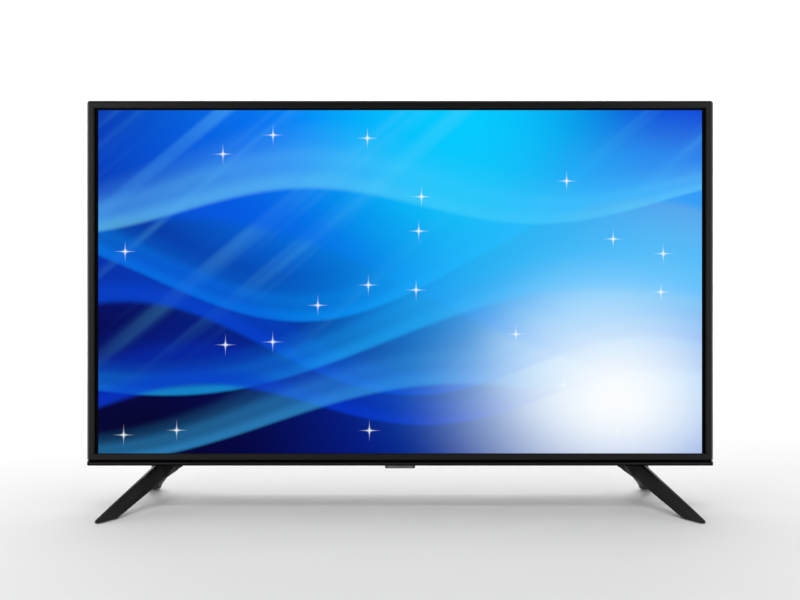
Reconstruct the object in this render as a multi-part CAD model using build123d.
from build123d import *
import math
import os

# A 32-inch class flat screen television on two splayed legs, built as its separate pieces.
# The frame: origin on the floor under the middle of the set, X to the viewer's right,
# Y from the viewer towards the back, Z up. All lengths are millimetres.

# Driving sizes of the picture and of the frame seen round it
picture_width = 698.4
picture_height = 397.1
border_side = 3.55
border_top = 1.6
bezel_side = 8.6
bezel_top = 8.5
bezel_bottom = 9.0
seam_height = 1.5
trim_height = 3.6
floor_gap = 47.0
front_y = -10.0

# Heights and widths that follow from them
trim_top = floor_gap + trim_height
bezel_low = trim_top + seam_height
opening_low = bezel_low + bezel_bottom
picture_top = opening_low + picture_height
opening_top = picture_top + border_top
set_top = opening_top + bezel_top
opening_half = picture_width / 2 + border_side
set_half = opening_half + bezel_side

# Places through the thickness, front to back
lip_thickness = 2.2
foam_thickness = 0.5
cell_thickness = 1.4
ledge_thickness = 1.5
film_thickness = 0.9
diffuser_thickness = 1.5
tray_depth = 22.0
bezel_wall_depth = 16.0
plateau_depth = 40.0
bulge_depth = 72.0
cover_wall = 2.2

lip_back_y = front_y + lip_thickness
cell_front_y = lip_back_y + foam_thickness
cell_back_y = cell_front_y + cell_thickness
film_front_y = cell_back_y + ledge_thickness
diffuser_front_y = film_front_y + film_thickness
tray_front_y = diffuser_front_y + diffuser_thickness
tray_back_y = tray_front_y + tray_depth
cover_front_y = front_y + bezel_wall_depth
plateau_y = front_y + plateau_depth
bulge_y = front_y + bulge_depth

# Shared clearances: a running gap, a slip gap between stacked pieces, and the overrun of a cut
slip_gap = 0.3
seat_gap = 0.1
cut_overrun = 1.0


def upright(y, z=0, x=0):
    """A drawing plane that faces the viewer, at depth y, with X to the right and Z up."""
    return Plane(origin=(x, y, z), x_dir=(1, 0, 0), z_dir=(0, -1, 0))


def slab(x, y, z):
    """A block between the low and high limits given on each axis."""
    limits = (x, y, z)
    size = [high - low for low, high in limits]
    middle = [(high + low) / 2 for low, high in limits]
    return Pos(*middle) * Box(*size)


def plate(x, y, z, radius):
    """A slab seen from the front as a rectangle with rounded corners."""
    width, height = x[1] - x[0], z[1] - z[0]
    outline = RectangleRounded(width, height, radius)
    face = upright(y[0], (z[0] + z[1]) / 2, (x[0] + x[1]) / 2) * outline
    return extrude(face, amount=-(y[1] - y[0]))


def tapered(x_front, z_front, y_front, x_back, z_back, y_back, radius):
    """A block whose rounded outline changes evenly from a front one to a back one."""
    faces = []
    for x, z, y in ((x_front, z_front, y_front), (x_back, z_back, y_back)):
        outline = RectangleRounded(x[1] - x[0], z[1] - z[0], radius)
        faces.append(upright(y, (z[0] + z[1]) / 2, (x[0] + x[1]) / 2) * outline)
    return loft(faces)


def rod_y(x, z, y, radius):
    """A round bar along Y between two depths."""
    return Pos(x, (y[0] + y[1]) / 2, z) * Rot(X=90) * Cylinder(radius, y[1] - y[0])


def rod_z(x, y, z, radius):
    """A round bar along Z between two heights."""
    return Pos(x, y, (z[0] + z[1]) / 2) * Cylinder(radius, z[1] - z[0])


def rod_x(y, z, x, radius):
    """A round bar along X between two limits."""
    return Pos((x[0] + x[1]) / 2, y, z) * Rot(Y=90) * Cylinder(radius, x[1] - x[0])


def about(middle, width):
    """The low and high limits of a width centred on a middle."""
    return (middle - width / 2, middle + width / 2)


def mirrored(shape):
    """The same shape on the other side of the set."""
    return mirror(shape, about=Plane.YZ)


def group(shapes):
    """Several separate solids kept as one named piece."""
    solids = []
    for shape in shapes:
        solids += list(shape.solids())
    return Compound(children=solids)


def row_of(count, first, last):
    """Evenly spaced places from the first to the last, both included."""
    step = (last - first) / (count - 1)
    return [first + step * i for i in range(count)]


# Front bezel: one moulded frame with a bevelled outer edge, side walls and hooks

bezel_wall = 2.0
bezel_bevel = 2.4
bezel_lip_bevel = 1.1
bezel_corner = 3.0
hook_length = 24.0
hook_depth = 5.0
hook_rise = 1.2
across_hook_count = 5
upright_hook_count = 3
hook_spread_share = 0.8


def bezel_hooks():
    """Snap hooks inside the walls, which the rear cover's rim clips over."""
    hooks = []
    y = (cover_front_y - hook_depth, cover_front_y)
    inner_half = set_half - bezel_wall
    middle = (bezel_low + set_top) / 2
    reach_up = (set_top - bezel_low) / 2 * hook_spread_share
    for x in row_of(across_hook_count, -set_half * hook_spread_share, set_half * hook_spread_share):
        z = (set_top - bezel_wall - hook_rise, set_top - bezel_wall)
        hooks.append(slab(about(x, hook_length), y, z))
    for z in row_of(upright_hook_count, middle - reach_up, middle + reach_up):
        for side in (-1, 1):
            x = sorted((side * inner_half, side * (inner_half - hook_rise)))
            hooks.append(slab(x, y, about(z, hook_length)))
    return hooks


def front_bezel():
    wide, tall = (-set_half, set_half), (bezel_low, set_top)
    block = plate(wide, (front_y, cover_front_y), tall, bezel_corner)
    rim = [e for e in block.edges() if abs(e.center().Y - front_y) < seat_gap]
    rim = [e for e in rim if e.center().Z > bezel_low + bezel_corner / 2]
    block = chamfer(rim, bezel_bevel)
    inside = (-set_half + bezel_wall, set_half - bezel_wall)
    high = (bezel_low + bezel_wall, set_top - bezel_wall)
    block -= slab(inside, (lip_back_y, cover_front_y + cut_overrun), high)
    opening = (-opening_half, opening_half)
    block -= slab(opening, (front_y - cut_overrun, lip_back_y + cut_overrun), (opening_low, opening_top))
    mouth = [e for e in block.edges() if abs(e.center().Y - front_y) < seat_gap]
    mouth = [e for e in mouth if abs(e.center().X) < opening_half + seat_gap]
    mouth = [e for e in mouth if opening_low - seat_gap < e.center().Z < opening_top + seat_gap]
    block = chamfer(mouth, bezel_lip_bevel)
    for hook in bezel_hooks():
        block += hook
    return block


# Bottom trim: the strip under the dark seam, rolled under at its front and open behind

trim_wall = 1.6
trim_roll = 1.7
trim_corner = 2.6
seam_depth = 2.2
trim_slot_gap = 0.2

# Receiver window: the smoked tab that hangs under the middle of the trim

window_width = 34.9
window_drop = 3.1
window_depth = 9.0
window_setback_share = 0.8
window_front_y = front_y + window_setback_share * trim_wall
window_taper = 1.2
window_wall = 1.4
window_flange = 2.0
window_flange_height = 1.2


def trim_outline():
    """The trim's section in the YZ plane: face, rolled edge, floor and the tongue behind the seam."""
    low, high = floor_gap, trim_top
    back = cover_front_y
    tongue = front_y + seam_depth
    with BuildSketch(Plane.YZ) as section:
        with BuildLine():
            Polyline(
                (front_y, low),
                (back, low),
                (back, low + trim_wall),
                (tongue + trim_wall, low + trim_wall),
                (tongue + trim_wall, bezel_low),
                (tongue, bezel_low),
                (tongue, high),
                (front_y, high),
                close=True,
            )
        make_face()
        corner = [v for v in section.vertices() if v.Y < low + seat_gap and v.X < front_y + seat_gap]
        fillet(corner, trim_roll)
    return section.sketch


def bottom_trim():
    strip = extrude(trim_outline(), amount=set_half, both=True)
    ends = [e for e in strip.edges() if abs(abs(e.center().X) - set_half) < seat_gap]
    ends = [e for e in ends if e.center().Z < floor_gap + seat_gap and e.length > trim_corner]
    strip = fillet(ends, trim_corner / 2)
    slot_x = about(0, window_width + 2 * trim_slot_gap)
    slot_y = (window_front_y - trim_slot_gap, window_front_y + window_depth + trim_slot_gap)
    return strip - slab(slot_x, slot_y, (floor_gap - cut_overrun, floor_gap + trim_wall + cut_overrun))


def receiver_window():
    """A hollow tray of smoked plastic: tapered ends, a flange that sits on the trim's floor."""
    low, seat = floor_gap - window_drop, floor_gap + trim_wall
    back = window_front_y + window_depth
    half = window_width / 2
    drawing = Plane(origin=(0, window_front_y, 0), x_dir=(1, 0, 0), z_dir=(0, -1, 0))
    with BuildSketch(drawing) as face:
        Polygon(
            (-half, seat),
            (-half, low + window_taper),
            (-half + window_taper, low),
            (half - window_taper, low),
            (half, low + window_taper),
            (half, seat),
            align=None,
        )
    tab = extrude(face.sketch, amount=-window_depth)
    flange_x = about(0, window_width + 2 * window_flange)
    flange_y = (front_y + seam_depth + trim_wall + trim_slot_gap, back + window_flange)
    tab += slab(flange_x, flange_y, (seat, seat + window_flange_height))
    pocket_y = (window_front_y + window_wall, back - window_wall)
    pocket_z = (low + window_wall, seat + window_flange_height + cut_overrun)
    return tab - slab(about(0, window_width - 2 * window_taper - window_wall), pocket_y, pocket_z)


# Display stack: foam strip, glass cell, moulded frame, light sheets, tray and light bars

cell_margin = 4.6
foam_width = 2.4
frame_side = 3.4
frame_wall = 1.3
frame_skirt = 9.0
frame_ledge = 7.0
film_margin = 1.2
tray_sheet = 0.8
tray_flange = 8.0
tray_slope = 16.0
tray_corner = 5.0
tray_gap = 0.4
reflector_thickness = 0.4
bar_thickness = 1.0
bar_width = 15.0
bar_margin = 92.0
bar_end_margin = 12.0
lens_count = 7
lens_radius = 8.0
lens_pocket_height = 2.6
lens_height = 5.6
lens_crown_radius = 3.0
lens_dimple = 2.0
lens_pocket_radius = 3.4
chip_size = 3.0
chip_height = 0.7
lens_spread_share = 0.84

cell_half = picture_width / 2 + cell_margin
cell_low = opening_low - cell_margin
cell_top = picture_top + cell_margin
frame_half = cell_half + slip_gap + frame_side
frame_low = bezel_low + bezel_wall + slip_gap
frame_top = cell_top + (cell_low - frame_low)
film_half = frame_half - frame_wall - film_margin
film_low = frame_low + frame_wall + film_margin
film_top = frame_top - frame_wall - film_margin
tray_half = frame_half - frame_wall - tray_gap
tray_low = frame_low + frame_wall + tray_gap
tray_top = frame_top - frame_wall - tray_gap
floor_half = tray_half - tray_flange - tray_slope
floor_low = tray_low + tray_flange + tray_slope
floor_top = tray_top - tray_flange - tray_slope
bar_back_y = tray_back_y - tray_sheet
bar_front_y = bar_back_y - bar_thickness
bar_heights = (floor_low + bar_margin, floor_top - bar_margin)
lens_reach = picture_width / 2 * lens_spread_share
lens_places = row_of(lens_count, -lens_reach, lens_reach)


def screen_foam():
    """The soft strip that keeps the glass off the bezel's lip."""
    inner_half = opening_half + slip_gap
    low, top = opening_low - slip_gap, opening_top + slip_gap
    y = (lip_back_y, cell_front_y)
    outer_half = inner_half + foam_width
    ring = slab((-outer_half, outer_half), y, (low - foam_width, top + foam_width))
    cut_y = (y[0] - cut_overrun, y[1] + cut_overrun)
    return ring - slab((-inner_half, inner_half), cut_y, (low, top))


def lcd_cell():
    """The glass: the panel with its filters, and the drive ledge along its lower edge."""
    return slab((-cell_half, cell_half), (cell_front_y, cell_back_y), (cell_low, cell_top))


def cell_frame():
    """Moulded frame: a wall round the glass, a ledge behind it and a skirt over the tray."""
    skirt_y = cell_back_y + frame_skirt
    frame = slab((-frame_half, frame_half), (cell_front_y, skirt_y), (frame_low, frame_top))
    seat_half = cell_half + slip_gap
    seat = (cell_low - slip_gap, cell_top + slip_gap)
    frame -= slab((-seat_half, seat_half), (cell_front_y - cut_overrun, cell_back_y), seat)
    skirt_half = frame_half - frame_wall
    skirt = (frame_low + frame_wall, frame_top - frame_wall)
    frame -= slab((-skirt_half, skirt_half), (film_front_y, skirt_y + cut_overrun), skirt)
    ledge_half = skirt_half - frame_ledge
    ledge = (skirt[0] + frame_ledge, skirt[1] - frame_ledge)
    cut_y = (cell_back_y - cut_overrun, film_front_y + cut_overrun)
    return frame - slab((-ledge_half, ledge_half), cut_y, ledge)


def optical_film():
    return slab((-film_half, film_half), (film_front_y, diffuser_front_y), (film_low, film_top))


def diffuser_plate():
    return slab((-film_half, film_half), (diffuser_front_y, tray_front_y), (film_low, film_top))


def tray_form(inset, y):
    """The tray's tapered body between two depths, all its sides drawn in by the inset."""
    mouth_half = tray_half - tray_flange - inset
    mouth = (tray_low + tray_flange + inset, tray_top - tray_flange - inset)
    back_half = floor_half - inset
    back = (floor_low + inset, floor_top - inset)
    return tapered((-mouth_half, mouth_half), mouth, y[0], (-back_half, back_half), back, y[1], tray_corner)


def backlight_tray():
    """Pressed steel tray: a flange round a shallow pan with sloped sides."""
    flange_y = (tray_front_y, tray_front_y + tray_sheet)
    tray = slab((-tray_half, tray_half), flange_y, (tray_low, tray_top))
    tray += tray_form(0, (tray_front_y, tray_back_y))
    tray -= tray_form(tray_sheet, (tray_front_y, tray_back_y - tray_sheet))
    hole_y = (tray_back_y - tray_sheet - cut_overrun, tray_back_y + cut_overrun)
    return tray - group([rod_y(x, z, hole_y, cover_screw_radius + seat_gap) for x, z in well_places])


def reflector_sheet():
    """White sheet lining the pan, with a round hole over each lens."""
    gap = tray_sheet + slip_gap
    y = (tray_front_y + slip_gap, bar_front_y)
    sheet = tray_form(gap, y)
    sheet -= tray_form(gap + reflector_thickness, (y[0], y[1] - reflector_thickness))
    hole_y = (y[1] - reflector_thickness - cut_overrun, y[1] + cut_overrun)
    for z in bar_heights:
        for x in lens_places:
            sheet -= rod_y(x, z, hole_y, lens_radius + slip_gap)
    return sheet


def led_bars():
    """Narrow circuit strips on the tray's floor, each with its light chips."""
    bars = []
    bar_half = floor_half - tray_sheet - bar_end_margin
    for z in bar_heights:
        bar = slab((-bar_half, bar_half), (bar_front_y, bar_back_y), about(z, bar_width))
        for x in lens_places:
            chip_y = (bar_front_y - chip_height, bar_front_y)
            bar += slab(about(x, chip_size), chip_y, about(z, chip_size))
        bars.append(bar)
    return group(bars)


def led_lens():
    """One spreading lens: a low cone with a dimple in front and a pocket over its chip."""
    with BuildSketch(Plane.XZ) as section:
        with BuildLine():
            Polyline(
                (0, lens_pocket_height),
                (lens_pocket_radius, 0),
                (lens_radius, 0),
                (lens_crown_radius, lens_height),
                (0, lens_height - lens_dimple),
                close=True,
            )
        make_face()
    return Rot(X=90) * revolve(section.sketch, Axis.Z)


def led_lenses():
    lens = led_lens()
    return group([Pos(x, bar_front_y, z) * lens for z in bar_heights for x in lens_places])


# Rear cover: a moulded shell with a shoulder, a raised middle, two bays, vents and screw wells

rim_inset = 0.6
rim_edge = 3.0
shoulder_inset = 24.0
cover_corner = 6.0
bulge_margin = 51.35
bulge_half = set_half - bulge_margin
bulge_side_slope = 20.0
bulge_height = 267.0
bulge_top_slope = 28.0
tongue_wall = 1.2
tongue_length = 2.2

bay_floor_y = 26.0
port_bay_length = 85.0
port_bay_mouth = 2.0
port_bay_rise = 35.4
port_bay_height = 146.0
inlet_bay_length = 78.0
inlet_bay_rise = 49.4
inlet_bay_height = 50.0

vent_width = 4.0
vent_pitch = 10.0
upper_vent_height = 20.0
upper_vent_drop = 27.6
upper_vent_count = 37
lower_vent_height = 18.0
lower_vent_rise = 15.4
lower_vent_count = 17
crest_vent_height = 14.0
crest_vent_drop = 63.7
crest_vent_count = 27

vesa_wide = 200.0
vesa_high = 100.0
vesa_rise = 149.4
post_radius = 5.0
post_bore = 2.0
post_bore_depth = 16.0

well_radius = 4.8
well_wall = 2.0
cover_screw_radius = 1.5
cover_screw_length = 5.9
cover_head_radius = 3.6
cover_head_height = 2.2
side_column_inset = 40.35
low_well_rise = 49.4
high_well_drop = 43.7
top_well_x = 150.0

key_size = 8.0
key_pitch = 13.0
key_count = 7
key_rise = 131.4

speaker_slot_width = 3.0
speaker_slot_pitch = 7.0
speaker_slot_count = 11
speaker_slot_y = (33.0, 53.0)
speaker_inset = 120.0

cover_half = set_half - rim_inset
cover_top = set_top - rim_inset
cover_low = trim_top
port_bay_wall = bulge_half - port_bay_length
port_bay_reach = bulge_half + port_bay_mouth
port_bay_low = cover_low + port_bay_rise
inlet_bay_wall = bulge_half - inlet_bay_length
inlet_bay_reach = bulge_half
inlet_bay_low = cover_low + inlet_bay_rise
upper_vent_low = cover_low + bulge_height - bulge_top_slope - upper_vent_drop
lower_vent_low = cover_low + lower_vent_rise
crest_vent_low = cover_top - crest_vent_drop
vesa_middle = cover_low + vesa_rise
side_well_x = set_half - side_column_inset
low_well, high_well = cover_low + low_well_rise, cover_top - high_well_drop
side_well_heights = (low_well, (low_well + high_well) / 2, high_well)
key_x = -side_well_x
key_middle = cover_low + key_rise
speaker_middle = bulge_half - speaker_inset
shoulder_front_y = cover_front_y + rim_edge
vesa_heights = (vesa_middle - vesa_high / 2, vesa_middle + vesa_high / 2)
vesa_places = [(x, z) for x in (-vesa_wide / 2, vesa_wide / 2) for z in vesa_heights]
well_places = [(side * side_well_x, z) for side in (-1, 1) for z in side_well_heights]
well_places += [(side * top_well_x, side_well_heights[-1]) for side in (-1, 1)]
key_reach = key_pitch * (key_count - 1) / 2
key_heights = row_of(key_count, key_middle - key_reach, key_middle + key_reach)


def cover_form(inset):
    """The cover's solid shape with every outside face moved in by the inset."""
    half, low, top = cover_half - inset, cover_low + inset, cover_top - inset
    rim_y = (cover_front_y, shoulder_front_y)
    form = plate((-half, half), rim_y, (low, top), cover_corner)
    upper_half = half - shoulder_inset
    upper = (low + shoulder_inset, top - shoulder_inset)
    back_y = plateau_y - inset
    rim_x, upper_x = (-half, half), (-upper_half, upper_half)
    form += tapered(rim_x, (low, top), shoulder_front_y, upper_x, upper, back_y, cover_corner)
    base_half = bulge_half - inset
    base = (low, cover_low + bulge_height - inset)
    crown_half = base_half - bulge_side_slope
    crown = (low, base[1] - bulge_top_slope)
    back_y = bulge_y - inset
    base_x, crown_x = (-base_half, base_half), (-crown_half, crown_half)
    form += tapered(base_x, base, shoulder_front_y, crown_x, crown, back_y, cover_corner)
    return form


def cover_bays(grow):
    """The spaces taken out of the raised middle for the plugs, grown by a wall for the inside."""
    y = (bay_floor_y - grow, bulge_y + cut_overrun)
    port_z = (port_bay_low - grow, port_bay_low + port_bay_height + grow)
    inlet_z = (inlet_bay_low - grow, inlet_bay_low + inlet_bay_height + grow)
    ports = slab((port_bay_wall - grow, port_bay_reach + grow), y, port_z)
    inlet = slab((-inlet_bay_reach - grow, -inlet_bay_wall + grow), y, inlet_z)
    return ports + inlet


def vent_row(count, low, height, y):
    """A row of upright slots centred on the set."""
    reach = vent_pitch * (count - 1) / 2
    return [slab(about(x, vent_width), y, (low, low + height)) for x in row_of(count, -reach, reach)]


def speaker_slots():
    slots = []
    reach = speaker_slot_pitch * (speaker_slot_count - 1) / 2
    z = (cover_low - cut_overrun, cover_low + cover_wall + cut_overrun)
    for side in (-1, 1):
        middle = side * speaker_middle
        for x in row_of(speaker_slot_count, middle - reach, middle + reach):
            slots.append(slab(about(x, speaker_slot_width), speaker_slot_y, z))
    return slots


def rear_cover():
    shell = cover_form(0) - cover_bays(0) - (cover_form(cover_wall) - cover_bays(cover_wall))
    tongue_half = set_half - bezel_wall - hook_rise - slip_gap
    tongue_top = set_top - bezel_wall - hook_rise - slip_gap
    tongue_low = bezel_low + bezel_wall + slip_gap
    tongue_y = (cover_front_y - tongue_length, cover_front_y + rim_edge)
    tongue = slab((-tongue_half, tongue_half), tongue_y, (tongue_low, tongue_top))
    inner_half = tongue_half - tongue_wall
    inner_y = (tongue_y[0] - cut_overrun, tongue_y[1] + cut_overrun)
    tongue -= slab((-inner_half, inner_half), inner_y, (tongue_low + tongue_wall, tongue_top - tongue_wall))
    shell += tongue
    for x, z in well_places:
        shell += rod_y(x, z, (tray_back_y, plateau_y - cover_wall / 2), well_radius + well_wall)
    for x, z in well_places:
        shell -= rod_y(x, z, (tray_back_y + cover_wall, plateau_y + cut_overrun), well_radius)
        shell -= rod_y(x, z, (tray_back_y - cut_overrun, plateau_y), cover_screw_radius + slip_gap)
    bulge_cut = (bulge_y - cover_wall - cut_overrun, bulge_y + cut_overrun)
    plateau_cut = (plateau_y - cover_wall - cut_overrun, plateau_y + cut_overrun)
    cuts = vent_row(upper_vent_count, upper_vent_low, upper_vent_height, bulge_cut)
    cuts += vent_row(lower_vent_count, lower_vent_low, lower_vent_height, bulge_cut)
    cuts += vent_row(crest_vent_count, crest_vent_low, crest_vent_height, plateau_cut)
    cuts += speaker_slots()
    cuts += [rod_y(x, z, bulge_cut, post_radius + slip_gap) for x, z in vesa_places]
    key_hole = key_size + 2 * slip_gap
    cuts += [slab(about(key_x, key_hole), plateau_cut, about(z, key_hole)) for z in key_heights]
    cuts += port_cuts() + [inlet_cut()]
    screw_z = (cover_low - cut_overrun, cover_low + cover_wall + cut_overrun)
    cuts += [rod_z(x, leg_screw_y, screw_z, leg_screw_radius + slip_gap) for x in leg_screw_places]
    shell -= group(cuts)
    post_z = (cover_low + cover_wall / 2, ear_z[1] + grommet_lip + post_rise)
    for x in ear_places:
        shell += rod_z(x, ear_y, post_z, grommet_bore - seat_gap)
    return shell


# Boards on standoffs behind the tray, and the sockets along the main board's outer edge

board_height = 10.0
board_thickness = 1.6
board_rise = 39.4
board_low = cover_low + board_rise
board_tall = 144.0
main_board_width = 112.0
power_board_width = 110.0
board_edge_gap = 0.6
standoff_radius = 2.6
board_hole_inset = 6.0
port_side_inset = 26.0
board_screw_radius = 1.2
board_screw_length = 4.6
board_head_radius = 2.6
board_head_height = 1.6

board_back_y = tray_back_y + board_height
board_face_y = board_back_y + board_thickness
main_board_edge = port_bay_wall - cover_wall - board_edge_gap
power_board_edge = -inlet_bay_wall + cover_wall + board_edge_gap
main_board_x = (main_board_edge - main_board_width, main_board_edge)
power_board_x = (power_board_edge, power_board_edge + power_board_width)
board_z = (board_low, board_low + board_tall)

socket_proud = 0.6
socket_wall = 0.5
socket_gap = 0.4
usb_width = 13.4
usb_height = 6.2
usb_depth = 15.0
usb_tongue = 1.8
usb_rises = (26.0, 42.0)
usb_heights = [port_bay_low + rise for rise in usb_rises]
hdmi_width = 15.0
hdmi_height = 6.0
hdmi_depth = 12.0
hdmi_bevel = 1.8
hdmi_tongue = 1.6
hdmi_rises = (60.0, 79.0)
hdmi_heights = [port_bay_low + rise for rise in hdmi_rises]
jack_width = 8.0
jack_height = 7.0
jack_depth = 12.0
jack_bore = 1.8
jack_ring = 3.2
jack_rise = 12.0
jack_z = port_bay_low + jack_rise
phono_radius = 4.2
phono_bore = 3.2
phono_pin = 1.2
phono_nose = 8.0
phono_width = 11.0
phono_height = 12.0
phono_depth = 12.0
phono_rises = (95.0, 108.0, 121.0)
phono_heights = [port_bay_low + rise for rise in phono_rises]
aerial_radius = 4.7
aerial_bore = 3.4
aerial_pin = 0.6
aerial_nose = 10.0
aerial_width = 13.0
aerial_height = 13.0
aerial_depth = 16.0
aerial_rise = 136.5
aerial_z = port_bay_low + aerial_rise

port_face_x = port_bay_wall + socket_proud


def board(x, z, places):
    """A circuit board with a hole for each of its screws."""
    sheet = slab(x, (board_back_y, board_face_y), z)
    hole_y = (board_back_y - cut_overrun, board_face_y + cut_overrun)
    return sheet - group([rod_y(a, b, hole_y, board_screw_radius + slip_gap) for a, b in places])


def board_holes(board_x, outer_inset):
    """The four places of a board's screws, clear of the sockets on its outer side."""
    inner, outer = sorted(board_x, key=abs)
    sign = math.copysign(1, outer)
    xs = (inner + sign * board_hole_inset, outer - sign * outer_inset)
    return [(x, z) for x in xs for z in (board_z[0] + board_hole_inset, board_z[1] - board_hole_inset)]


def standoff(x, z):
    post = rod_y(x, z, (tray_back_y, board_back_y), standoff_radius)
    bore_y = (board_face_y - board_screw_length - seat_gap, board_back_y + cut_overrun)
    return post - rod_y(x, z, bore_y, board_screw_radius + seat_gap)


def board_screw(x, z):
    head = rod_y(x, z, (board_face_y, board_face_y + board_head_height), board_head_radius)
    return head + rod_y(x, z, (board_face_y - board_screw_length, board_face_y), board_screw_radius)


def beveled_block(x, y, z, bevel):
    """A block along X whose two edges next to the board are cut off."""
    block = slab(x, y, z)
    low = [e for e in block.edges().filter_by(Axis.X) if e.center().Y < (y[0] + y[1]) / 2]
    return chamfer(low, bevel) if bevel else block


def side_socket(width, height, depth, middle_z, bevel):
    """A metal socket on the board, open to the side."""
    y = (board_face_y, board_face_y + height)
    x = (port_face_x - depth, port_face_x)
    z = about(middle_z, width)
    inner_x = (x[0] + socket_wall, x[1] + cut_overrun)
    inner_y = (y[0] + socket_wall, y[1] - socket_wall)
    inner_z = (z[0] + socket_wall, z[1] - socket_wall)
    return beveled_block(x, y, z, bevel) - beveled_block(inner_x, inner_y, inner_z, bevel)


def socket_tongue(width, height, depth, middle_z, tongue):
    middle_y = board_face_y + height / 2
    x = (port_face_x - depth + socket_wall, port_face_x - socket_wall - socket_proud)
    return slab(x, about(middle_y, tongue), about(middle_z, width - 2 * socket_wall - tongue))


def usb_sockets():
    shells = []
    for z in usb_heights:
        shell = side_socket(usb_width, usb_height, usb_depth, z, 0)
        shells.append(shell + socket_tongue(usb_width, usb_height, usb_depth, z, usb_tongue))
    return group(shells)


def hdmi_sockets():
    shells = []
    for z in hdmi_heights:
        shell = side_socket(hdmi_width, hdmi_height, hdmi_depth, z, hdmi_bevel)
        inner = hdmi_width - 2 * hdmi_bevel
        shells.append(shell + socket_tongue(inner, hdmi_height, hdmi_depth, z, hdmi_tongue))
    return group(shells)


def headphone_jack():
    middle_y = board_face_y + jack_height / 2
    back_x = port_bay_wall - cover_wall - socket_gap
    y = (board_face_y, board_face_y + jack_height)
    block = slab((back_x - jack_depth, back_x), y, about(jack_z, jack_width))
    block += rod_x(middle_y, jack_z, (back_x, port_face_x), jack_ring)
    bore_x = (back_x - jack_depth + socket_wall, port_face_x + cut_overrun)
    return block - rod_x(middle_y, jack_z, bore_x, jack_bore)


def phono_jacks():
    jacks = []
    middle_y = board_face_y + phono_height / 2
    back_x = port_bay_wall - cover_wall - socket_gap
    nose_x = port_bay_wall + phono_nose
    y = (board_face_y, board_face_y + phono_height)
    for z in phono_heights:
        jack = slab((back_x - phono_depth, back_x), y, about(z, phono_width))
        jack += rod_x(middle_y, z, (back_x, nose_x), phono_radius)
        jack -= rod_x(middle_y, z, (back_x, nose_x + cut_overrun), phono_bore)
        jack += rod_x(middle_y, z, (back_x, nose_x - socket_proud), phono_bore - phono_pin)
        jack -= rod_x(middle_y, z, (back_x, nose_x + cut_overrun), phono_bore - phono_pin - socket_wall)
        jacks.append(jack)
    return group(jacks)


def aerial_socket():
    middle_y = board_face_y + aerial_height / 2
    back_x = port_bay_wall - cover_wall - socket_gap
    nose_x = port_bay_wall + aerial_nose
    y = (board_face_y, board_face_y + aerial_height)
    body = slab((back_x - aerial_depth, back_x), y, about(aerial_z, aerial_width))
    body += rod_x(middle_y, aerial_z, (back_x, nose_x), aerial_radius)
    body -= rod_x(middle_y, aerial_z, (back_x, nose_x + cut_overrun), aerial_bore)
    return body + rod_x(middle_y, aerial_z, (back_x, nose_x - aerial_bore), aerial_pin)


def port_cuts():
    """Openings in the bay's wall, each a named gap larger than the socket that passes through."""
    x = (port_bay_wall - cover_wall - cut_overrun, port_bay_wall + cut_overrun)
    cuts = []
    sizes = [(usb_width, usb_height, z) for z in usb_heights]
    sizes += [(hdmi_width, hdmi_height, z) for z in hdmi_heights]
    for width, height, z in sizes:
        y = (board_face_y - socket_gap, board_face_y + height + socket_gap)
        cuts.append(slab(x, y, about(z, width + 2 * socket_gap)))
    cuts.append(rod_x(board_face_y + jack_height / 2, jack_z, x, jack_ring + socket_gap))
    for z in phono_heights:
        cuts.append(rod_x(board_face_y + phono_height / 2, z, x, phono_radius + socket_gap))
    cuts.append(rod_x(board_face_y + aerial_height / 2, aerial_z, x, aerial_radius + socket_gap))
    return cuts


# Mains inlet: a two-pin figure-eight socket in its own bay, on the power board's outer edge

inlet_width = 19.0
inlet_height = 11.0
inlet_depth = 20.0
inlet_flange = 1.6
inlet_flange_thickness = 1.4
inlet_lobe = 3.8
inlet_pin_pitch = 8.6
inlet_pin = 1.2
inlet_cavity = 13.0
inlet_z = inlet_bay_low + inlet_bay_height / 2


def inlet_slot(radius, x):
    """The figure-eight's two round lobes and the web between them, along X."""
    middle_y = board_face_y + inlet_height / 2
    reach = inlet_pin_pitch / 2
    slot = slab(x, about(middle_y, radius * 2 - inlet_flange), about(inlet_z, inlet_pin_pitch))
    for z in (inlet_z - reach, inlet_z + reach):
        slot += rod_x(middle_y, z, x, radius)
    return slot


def mains_inlet():
    face_x = -inlet_bay_wall - inlet_flange_thickness
    y = (board_face_y, board_face_y + inlet_height)
    z = about(inlet_z, inlet_width)
    body = slab((face_x, face_x + inlet_depth), y, z)
    flange_y = (y[0] - inlet_flange, y[1] + inlet_flange)
    body += slab((face_x, -inlet_bay_wall), flange_y, (z[0] - inlet_flange, z[1] + inlet_flange))
    body -= inlet_slot(inlet_lobe, (face_x - cut_overrun, face_x + inlet_cavity))
    reach = inlet_pin_pitch / 2
    for pin_z in (inlet_z - reach, inlet_z + reach):
        pin_x = (face_x + inlet_flange_thickness, face_x + inlet_cavity)
        body += rod_x(board_face_y + inlet_height / 2, pin_z, pin_x, inlet_pin)
    return body


def inlet_cut():
    x = (-inlet_bay_wall - cut_overrun, -inlet_bay_wall + cover_wall + cut_overrun)
    y = (board_face_y - slip_gap, board_face_y + inlet_height + slip_gap)
    return slab(x, y, about(inlet_z, inlet_width + 2 * slip_gap))


# What stands on the boards

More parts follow.
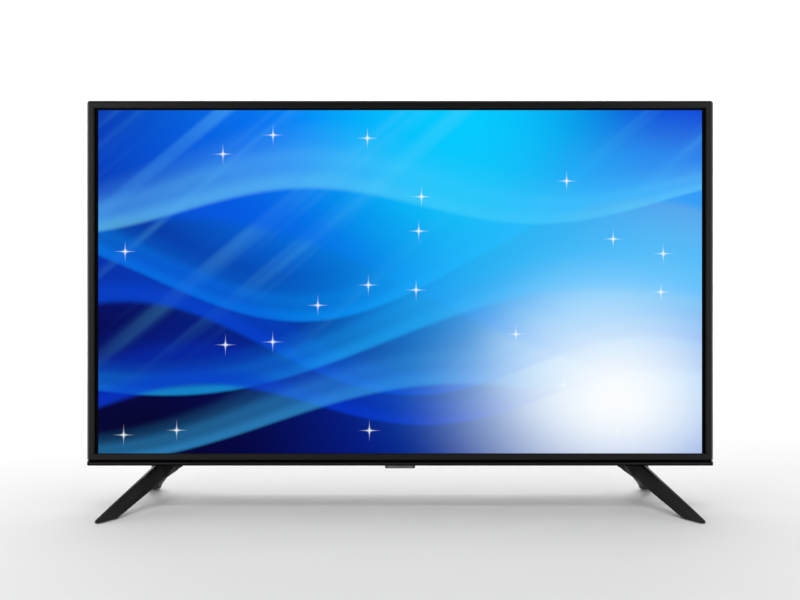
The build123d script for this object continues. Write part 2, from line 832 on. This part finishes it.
heatsink_size = 38.0
heatsink_base = 2.0
heatsink_height = 12.0
fin_count = 8
fin_thickness = 1.2
chip_thickness = 1.6
processor_size = 27.0
processor_shares = (0.40, 0.42)
memory_size = (9.0, 13.0)
memory_places_share = ((0.16, 0.55), (0.16, 0.30))
transformer_size = (34.0, 24.0, 30.0)
transformer_core = 8.0
transformer_shares = (0.52, 0.30)
capacitor_radius = 9.0
capacitor_height = 26.0
capacitor_shares = ((0.24, 0.62), (0.24, 0.80))
small_capacitor_radius = 4.0
small_capacitor_height = 16.0
small_capacitor_shares = ((0.90, 0.24), (0.90, 0.34), (0.90, 0.44))
cooling_plate_size = (3.0, 44.0, 24.0)
cooling_plate_shares = (0.72, 0.66)


def on_board(x, z, shares):
    """A place on a board, as shares of its width and height."""
    return (x[0] + shares[0] * (x[1] - x[0]), z[0] + shares[1] * (z[1] - z[0]))


main_board_holes = board_holes(main_board_x, port_side_inset)
power_board_holes = board_holes(power_board_x, board_hole_inset)


def main_board():
    return board(main_board_x, board_z, main_board_holes)


def power_board():
    return board(power_board_x, board_z, power_board_holes)


def board_standoffs():
    return group([standoff(x, z) for x, z in main_board_holes + power_board_holes])


def board_screws():
    return group([board_screw(x, z) for x, z in main_board_holes + power_board_holes])


def processor_heatsink():
    """A finned block that sits on the main board's processor."""
    x, z = on_board(main_board_x, board_z, processor_shares)
    y = board_face_y + chip_thickness
    sink = slab(about(x, heatsink_size), (y, y + heatsink_base), about(z, heatsink_size))
    reach = (heatsink_size - fin_thickness) / 2
    for fin_x in row_of(fin_count, x - reach, x + reach):
        sink += slab(about(fin_x, fin_thickness), (y, y + heatsink_height), about(z, heatsink_size))
    return sink


def main_board_chips():
    """The processor and two memory chips."""
    y = (board_face_y, board_face_y + chip_thickness)
    x, z = on_board(main_board_x, board_z, processor_shares)
    chips = [slab(about(x, processor_size), y, about(z, processor_size))]
    for shares in memory_places_share:
        x, z = on_board(main_board_x, board_z, shares)
        chips.append(slab(about(x, memory_size[0]), y, about(z, memory_size[1])))
    return group(chips)


def power_transformer():
    """A wound bobbin with its ferrite core round it."""
    x, z = on_board(power_board_x, board_z, transformer_shares)
    width, height, tall = transformer_size
    y = (board_face_y, board_face_y + height)
    winding_y = (y[0], y[1] - transformer_core / 2)
    winding = slab(about(x, width), winding_y, about(z, tall - 2 * transformer_core))
    core = slab(about(x, width - transformer_core), y, about(z, tall))
    return winding + core


def power_capacitors():
    """Two large smoothing capacitors and three small ones."""
    cans = []
    sizes = [(capacitor_radius, capacitor_height, shares) for shares in capacitor_shares]
    sizes += [(small_capacitor_radius, small_capacitor_height, shares) for shares in small_capacitor_shares]
    for radius, height, shares in sizes:
        x, z = on_board(power_board_x, board_z, shares)
        cans.append(rod_y(x, z, (board_face_y, board_face_y + height), radius))
    return group(cans)


def cooling_plate():
    """The upright metal plate that cools the power transistors."""
    x, z = on_board(power_board_x, board_z, cooling_plate_shares)
    width, tall, height = cooling_plate_size
    plate_part = slab(about(x, width), (board_face_y, board_face_y + height), about(z, tall))
    foot = slab((x, x + 3 * width), (board_face_y, board_face_y + width / 2), about(z, tall / 2))
    return plate_part + foot


# Panel electronics: the driver strip behind the tray's lower edge, and its flat cable

source_height = 13.0
source_rise = 31.4
source_low = cover_low + source_rise
flat_cable_width = 20.0
flat_cable_thickness = 0.5
flat_cable_inset = 26.2
flat_cable_x = main_board_x[0] - flat_cable_inset
source_margin = 20.0
source_half = flat_cable_x + source_margin
connector_height = 3.0
connector_depth = 5.0


def source_board():
    """The panel's long driver board, flat on the tray's back near its lower edge."""
    y = (tray_back_y, tray_back_y + board_thickness)
    strip = slab((-source_half, source_half), y, (source_low, source_low + source_height))
    plug_y = (y[1], y[1] + connector_height)
    plug_z = (source_low + source_height - connector_depth, source_low + source_height)
    return strip + slab(about(flat_cable_x, flat_cable_width + 2 * socket_wall), plug_y, plug_z)


def signal_cable():
    """The flat cable from the driver strip's plug up to the main board's inner edge."""
    x = about(flat_cable_x, flat_cable_width)
    low_y = tray_back_y + board_thickness + connector_height
    low_z = source_low + source_height - connector_depth
    high_z = board_low + board_height
    rise = slab(x, (low_y, low_y + flat_cable_thickness), (low_z, high_z + flat_cable_width))
    turn_x = (x[1] - flat_cable_thickness, main_board_x[0] + board_hole_inset)
    top_z = (high_z, high_z + flat_cable_width)
    across_y = (board_face_y, board_face_y + flat_cable_thickness)
    step = slab((x[1] - flat_cable_thickness, x[1]), (low_y, across_y[1]), top_z)
    return rise + step + slab(turn_x, across_y, top_z)


# Speakers: closed boxes that fire down through the slots, held by soft grommets on posts

speaker_width = 94.0
speaker_depth = 28.0
speaker_tall = 29.0
speaker_floor_gap = 1.0
speaker_front_y = 29.0
speaker_corner = 4.0
cone_share = 0.38
cone_recess = 4.0
cone_edge = 2.0
cone_height = 3.0
ear_size = 10.0
ear_thickness = 4.0
ear_bore = 2.8
grommet_bore = 1.6
grommet_flange = 4.2
grommet_lip = 0.8
post_rise = 3.0

speaker_low = cover_low + cover_wall + speaker_floor_gap
speaker_y = (speaker_front_y, speaker_front_y + speaker_depth)
ear_y = (speaker_y[0] + speaker_y[1]) / 2
ear_reach = (speaker_width + ear_size) / 2
ear_places = [side * speaker_middle + end * ear_reach for side in (-1, 1) for end in (-1, 1)]
ear_z = (speaker_low, speaker_low + ear_thickness)


def oval(x, z, share):
    """An upright oval block under a speaker, as a share of the speaker's size."""
    drawing = Plane(origin=(x, ear_y, z[0]))
    return extrude(drawing * Ellipse(speaker_width * share, speaker_depth * share), amount=z[1] - z[0])


def speaker_box(side):
    """One loudspeaker: a rounded box with a recess for its cone and an ear at each end."""
    middle = side * speaker_middle
    box = slab(about(middle, speaker_width), speaker_y, (speaker_low, speaker_low + speaker_tall))
    box = fillet(box.edges().filter_by(Axis.Z), speaker_corner)
    for x in (middle - ear_reach, middle + ear_reach):
        box += slab(about(x, ear_size), about(ear_y, ear_size), ear_z)
        box -= rod_z(x, ear_y, (ear_z[0] - cut_overrun, ear_z[1] + cut_overrun), ear_bore)
    return box - oval(middle, (speaker_low - cut_overrun, speaker_low + cone_recess), cone_share)


def speaker_boxes():
    return group([speaker_box(-1), speaker_box(1)])


def speaker_cones():
    """The oval cones, seated in their recesses."""
    cones = []
    z = (speaker_low + cone_recess - cone_height, speaker_low + cone_recess)
    edge_share = cone_share * (1 - cone_edge / speaker_depth)
    for side in (-1, 1):
        dish = oval(side * speaker_middle, z, edge_share)
        bottom = dish.edges().group_by(Axis.Z)[0]
        cones.append(chamfer(bottom, cone_height / 2))
    return group(cones)


def speaker_grommets():
    """Soft bushes through the ears, with a lip beneath."""
    bushes = []
    for x in ear_places:
        bush = rod_z(x, ear_y, (ear_z[0] - grommet_lip, ear_z[1] + grommet_lip), ear_bore - seat_gap)
        bush += rod_z(x, ear_y, (ear_z[0] - grommet_lip, ear_z[0]), grommet_flange)
        bore_z = (ear_z[0] - cut_overrun - grommet_lip, ear_z[1] + cut_overrun + grommet_lip)
        bushes.append(bush - rod_z(x, ear_y, bore_z, grommet_bore))
    return group(bushes)


# Keys: seven push caps through the cover, over switches on a small board

key_proud = 1.2
key_flange = 1.2
key_flange_thickness = 1.1
key_stem_radius = 1.6
key_travel = 0.5
key_edge = 0.6
key_stem_y = 25.0
key_board_width = 13.0
key_board_lift = 1.0
key_board_thickness = 1.2
switch_size = 6.0
switch_gap = 0.1

key_names = (
    "power_key",
    "input_key",
    "menu_key",
    "channel_up_key",
    "channel_down_key",
    "volume_up_key",
    "volume_down_key",
)
key_back_y = plateau_y + key_proud
key_flange_y = plateau_y - cover_wall - slip_gap - key_flange_thickness
key_board_y = (tray_back_y + key_board_lift, tray_back_y + key_board_lift + key_board_thickness)
switch_y = (key_board_y[1], key_stem_y - key_travel - switch_gap)


def push_key(z):
    """A square cap with eased edges, a flange that keeps it in and a stem over its switch."""
    cap = slab(about(key_x, key_size), (key_flange_y, key_back_y), about(z, key_size))
    cap = chamfer(cap.faces().sort_by(Axis.Y)[-1].edges(), key_edge)
    width = key_size + 2 * key_flange
    cap += slab(about(key_x, width), (key_flange_y, key_flange_y + key_flange_thickness), about(z, width))
    return cap + rod_y(key_x, z, (key_stem_y, key_flange_y), key_stem_radius)


def key_board():
    """The keys' long narrow board, on two feet against the tray, with its seven switches."""
    reach = key_reach + key_size
    z = (key_middle - reach, key_middle + reach)
    strip = slab(about(key_x, key_board_width), key_board_y, z)
    for foot_z in (z[0] + key_size / 2, z[1] - key_size / 2):
        strip += slab(about(key_x, key_size), (tray_back_y, key_board_y[0]), about(foot_z, key_size / 2))
    for switch_z in key_heights:
        strip += slab(about(key_x, switch_size), switch_y, about(switch_z, switch_size))
    return strip


# Receiver board: the remote control's sensor and the standby light behind the smoked window

sensor_size = (6.0, 3.4, 5.0)
sensor_x = -6.0
lamp_radius = 1.5
lamp_x = 7.0
receiver_board_half = 15.0


def receiver_board():
    """A small board that stands in the window's pocket, with the sensor and the lamp."""
    back = window_front_y + window_depth - window_wall
    low = floor_gap - window_drop + window_wall
    y = (back - board_thickness, back)
    z = (low, floor_gap + trim_wall + window_flange_height)
    sheet = slab((-receiver_board_half, receiver_board_half), y, z)
    width, deep, tall = sensor_size
    sheet += slab(about(sensor_x, width), (y[0] - deep, y[0]), (low, low + tall))
    return sheet + rod_y(lamp_x, low + tall / 2, (y[0] - deep, y[0]), lamp_radius)


# Leg brackets: folded steel between the tray's back and the cover's flat underside

bracket_sheet = 2.0
bracket_inset = 41.0
bracket_x = bulge_half - bracket_inset
bracket_width = 34.0
bracket_depth = 22.0
bracket_tall = 62.0
bracket_rib = 12.0
leg_screw_y = 32.0
leg_screw_pitch = 17.0
leg_screw_radius = 2.0
leg_screw_head = 3.8
leg_screw_head_height = 2.6
leg_screw_length = 16.0
leg_screw_seat = 6.0
nut_radius = 4.0
nut_height = 3.2

bracket_low = cover_low + cover_wall
leg_screw_places = [side * (bracket_x + end * leg_screw_pitch / 2) for side in (-1, 1) for end in (-1, 1)]


def leg_bracket(side):
    """An angle with a rib at each end and a nut pressed over each screw hole."""
    x = about(side * bracket_x, bracket_width)
    sheet_y = (tray_back_y, tray_back_y + bracket_sheet)
    foot_z = (bracket_low, bracket_low + bracket_sheet)
    angle = slab(x, sheet_y, (bracket_low, bracket_low + bracket_tall))
    angle += slab(x, (tray_back_y, tray_back_y + bracket_depth), foot_z)
    for rib_x in ((x[0], x[0] + bracket_sheet), (x[1] - bracket_sheet, x[1])):
        drawing = Plane(origin=(rib_x[0], 0, 0), x_dir=(0, 1, 0), z_dir=(1, 0, 0))
        y, z = sheet_y[1], foot_z[1]
        outline = Polyline((y, z), (y + bracket_rib, z), (y, z + bracket_rib), close=True)
        face = drawing * make_face(outline)
        angle += extrude(face, amount=bracket_sheet)
    for screw_x in leg_screw_places:
        if screw_x * side > 0:
            angle += rod_z(screw_x, leg_screw_y, (foot_z[1], foot_z[1] + nut_height), nut_radius)
            angle -= rod_z(
                screw_x, leg_screw_y, (foot_z[0] - cut_overrun, foot_z[1] + nut_height + cut_overrun),
                leg_screw_radius + seat_gap,
            )
    return angle


def leg_brackets():
    return group([leg_bracket(-1), leg_bracket(1)])


def vesa_posts():
    """Four threaded steel posts from the tray to the back of the cover, for a wall bracket."""
    posts = []
    for x, z in vesa_places:
        post = rod_y(x, z, (tray_back_y, bulge_y), post_radius)
        bore_y = (bulge_y - post_bore_depth, bulge_y + cut_overrun)
        posts.append(post - rod_y(x, z, bore_y, post_bore))
    return group(posts)


def cover_screw(x, z):
    seat = tray_back_y + cover_wall
    head = rod_y(x, z, (seat, seat + cover_head_height), cover_head_radius)
    return head + rod_y(x, z, (seat + cover_head_height - cover_screw_length, seat), cover_screw_radius)


def cover_screws():
    return group([cover_screw(x, z) for x, z in well_places])


def leg_screw(x):
    head_z = (cover_low - leg_screw_seat - leg_screw_head_height, cover_low - leg_screw_seat)
    screw = rod_z(x, leg_screw_y, head_z, leg_screw_head)
    return screw + rod_z(x, leg_screw_y, (head_z[1], head_z[1] + leg_screw_length), leg_screw_radius)


def leg_screws():
    return group([leg_screw(x) for x in leg_screw_places])


# Legs: each a hub under the cover with a long front arm and a short rear arm, both splayed outwards.
# A section's corners run top outer, top inner, bottom inner, bottom outer. Their places are shares
# of the leg's spread from the hub's inner end, and of its rise from the floor to the cover.

leg_inset = 17.0
leg_inner_x = bracket_x - leg_inset
leg_spread = 96.0
leg_front_reach = 97.0
leg_rear_reach = 97.0
hub_front_y = 8.0
hub_rear_y = 38.0
leg_edge = 2.6
hub_edge = 1.5
tip_radius = 10.0
tip_overreach = 6.0
rear_tip_radius = 8.0
pad_proud = 0.8
pad_recess = 0.8
front_pad_radius = 2.8
rear_pad_length = 11.0
rear_pad_width = 6.0

leg_rise = cover_low
front_root_shares = ((0.388, 0.835), (0.299, 0.916), (0.231, 0.561), (0.421, 0.477))
front_tip_shares = ((0.863, 0.018), (0.823, -0.002), (0.766, -0.177), (0.893, -0.197))
rear_section_shares = (
    ((0.424, 0.924), (0.139, 0.924), (0.245, 0.553), (0.466, 0.483)),
    ((0.485, 0.690), (0.237, 0.688), (0.309, 0.378), (0.513, 0.317)),
    ((0.561, 0.394), (0.357, 0.394), (0.406, 0.151), (0.583, 0.111)),
    ((0.614, 0.099), (0.480, 0.099), (0.462, -0.046), (0.634, -0.066)),
)
rear_station_shares = (0.0, 0.29, 0.64, 1.0)
hub_shares = ((0.0, 1.0), (0.394, 1.0), (0.394, 0.836), (0.425, 0.478), (0.235, 0.561), (0.010, 0.852))
front_pad_shares = ((0.700, 0.732), (0.786, 0.885))
rear_pad_shares = (0.538, 0.956)


def leg_points(shares):
    """Corners in the XZ plane of the right-hand leg."""
    return [(leg_inner_x + a * leg_spread, b * leg_rise) for a, b in shares]


def leg_section(shares, y, radius):
    outline = make_face(Polyline(*leg_points(shares), close=True))
    return upright(y) * fillet(outline.vertices(), radius)


def end_limit(x, y, radius, way):
    """Everything behind a foot's tip, with a half-round end where the foot stops."""
    far = y - way * (leg_front_reach + leg_rear_reach)
    tall = (-leg_rise, 2 * leg_rise)
    return rod_z(x, y, tall, radius) + slab(about(x, 2 * leg_spread), sorted((y, far)), tall)


def front_arm():
    arm = loft([
        leg_section(front_root_shares, hub_front_y + hub_edge, leg_edge),
        leg_section(front_tip_shares, -leg_front_reach - tip_overreach, leg_edge / 2),
    ])
    tip_x = leg_inner_x + leg_spread * front_pad_shares[1][0]
    return arm & end_limit(tip_x, tip_radius - leg_front_reach, tip_radius, -1)


def rear_arm():
    start, end = hub_rear_y - hub_edge, leg_rear_reach
    stations = [start + share * (end - start) for share in rear_station_shares]
    arm = loft([leg_section(s, y, leg_edge) for s, y in zip(rear_section_shares, stations)], ruled=True)
    tip_x = leg_inner_x + leg_spread * rear_pad_shares[0]
    return arm & end_limit(tip_x, leg_rear_reach - rear_tip_radius, rear_tip_radius, 1)


def leg_hub():
    outline = make_face(Polyline(*leg_points(hub_shares), close=True))
    block = extrude(upright(hub_front_y) * outline, amount=-(hub_rear_y - hub_front_y))
    middle_y, depth = (hub_front_y + hub_rear_y) / 2, (hub_rear_y - hub_front_y) / 2
    ends = [e for e in block.edges() if abs(e.center().Y - middle_y) > depth - seat_gap]
    return chamfer(ends, hub_edge)


def front_pad(grow, z):
    """A long rubber pad along the front foot, grown by a gap for its recess."""
    ends = [(leg_inner_x + a * leg_spread, -b * leg_front_reach) for a, b in front_pad_shares]
    (x1, y1), (x2, y2) = ends
    length = math.dist((x1, y1), (x2, y2))
    angle = math.degrees(math.atan2(y2 - y1, x2 - x1))
    outline = SlotCenterToCenter(length, 2 * (front_pad_radius + grow))
    face = Pos((x1 + x2) / 2, (y1 + y2) / 2, z[0]) * Rot(Z=angle) * outline
    return extrude(face, amount=z[1] - z[0])


def rear_pad(grow, z):
    """A short rubber pad across the rear foot, grown by a gap for its recess."""
    x = leg_inner_x + leg_spread * rear_pad_shares[0]
    y = leg_rear_reach * rear_pad_shares[1]
    outline = RectangleRounded(rear_pad_length + 2 * grow, rear_pad_width + 2 * grow, rear_pad_width / 3)
    return extrude(Pos(x, y, z[0]) * outline, amount=z[1] - z[0])


def right_leg():
    """The moulded leg, flat under its feet, with pad recesses and its two deep screw holes."""
    leg = leg_hub() + front_arm() + rear_arm()
    below = (-leg_rise, pad_proud)
    leg -= slab(about(leg_inner_x, 4 * leg_spread), (-2 * leg_front_reach, 2 * leg_rear_reach), below)
    recess = (pad_proud - cut_overrun, pad_proud + pad_recess)
    leg -= front_pad(slip_gap, recess)
    leg -= rear_pad(slip_gap, recess)
    for x in leg_screw_places:
        if x > 0:
            seat = cover_low - leg_screw_seat
            leg -= rod_z(x, leg_screw_y, (0, seat), leg_screw_head + slip_gap)
            leg -= rod_z(x, leg_screw_y, (0, cover_low + cut_overrun), leg_screw_radius + slip_gap)
    return leg


# Every piece under the name of its file


def all_pieces():
    right = right_leg()
    pad_z = (0, pad_proud + pad_recess)
    pieces = {
        "front_bezel": front_bezel(),
        "bottom_trim": bottom_trim(),
        "receiver_window": receiver_window(),
        "receiver_board": receiver_board(),
        "screen_foam": screen_foam(),
        "lcd_cell": lcd_cell(),
        "cell_frame": cell_frame(),
        "optical_film": optical_film(),
        "diffuser_plate": diffuser_plate(),
        "reflector_sheet": reflector_sheet(),
        "led_lenses": led_lenses(),
        "led_bars": led_bars(),
        "backlight_tray": backlight_tray(),
        "source_board": source_board(),
        "signal_cable": signal_cable(),
        "main_board": main_board(),
        "main_board_chips": main_board_chips(),
        "processor_heatsink": processor_heatsink(),
        "power_board": power_board(),
        "power_transformer": power_transformer(),
        "power_capacitors": power_capacitors(),
        "cooling_plate": cooling_plate(),
        "board_standoffs": board_standoffs(),
        "board_screws": board_screws(),
        "usb_sockets": usb_sockets(),
        "hdmi_sockets": hdmi_sockets(),
        "headphone_jack": headphone_jack(),
        "phono_jacks": phono_jacks(),
        "aerial_socket": aerial_socket(),
        "mains_inlet": mains_inlet(),
        "speaker_boxes": speaker_boxes(),
        "speaker_cones": speaker_cones(),
        "speaker_grommets": speaker_grommets(),
        "key_board": key_board(),
        "rear_cover": rear_cover(),
        "cover_screws": cover_screws(),
        "vesa_posts": vesa_posts(),
        "leg_brackets": leg_brackets(),
        "leg_screws": leg_screws(),
        "right_leg": right,
        "left_leg": mirrored(right),
        "right_front_pad": front_pad(0, pad_z),
        "right_rear_pad": rear_pad(0, pad_z),
        "left_front_pad": mirrored(front_pad(0, pad_z)),
        "left_rear_pad": mirrored(rear_pad(0, pad_z)),
    }
    for name, z in zip(key_names, reversed(key_heights)):
        pieces[name] = push_key(z)
    return pieces


def write_pieces():
    os.makedirs("parts", exist_ok=True)
    for name, shape in all_pieces().items():
        export_step(shape, f"parts/{name}.step")
        print(name, len(shape.solids()))


write_pieces()
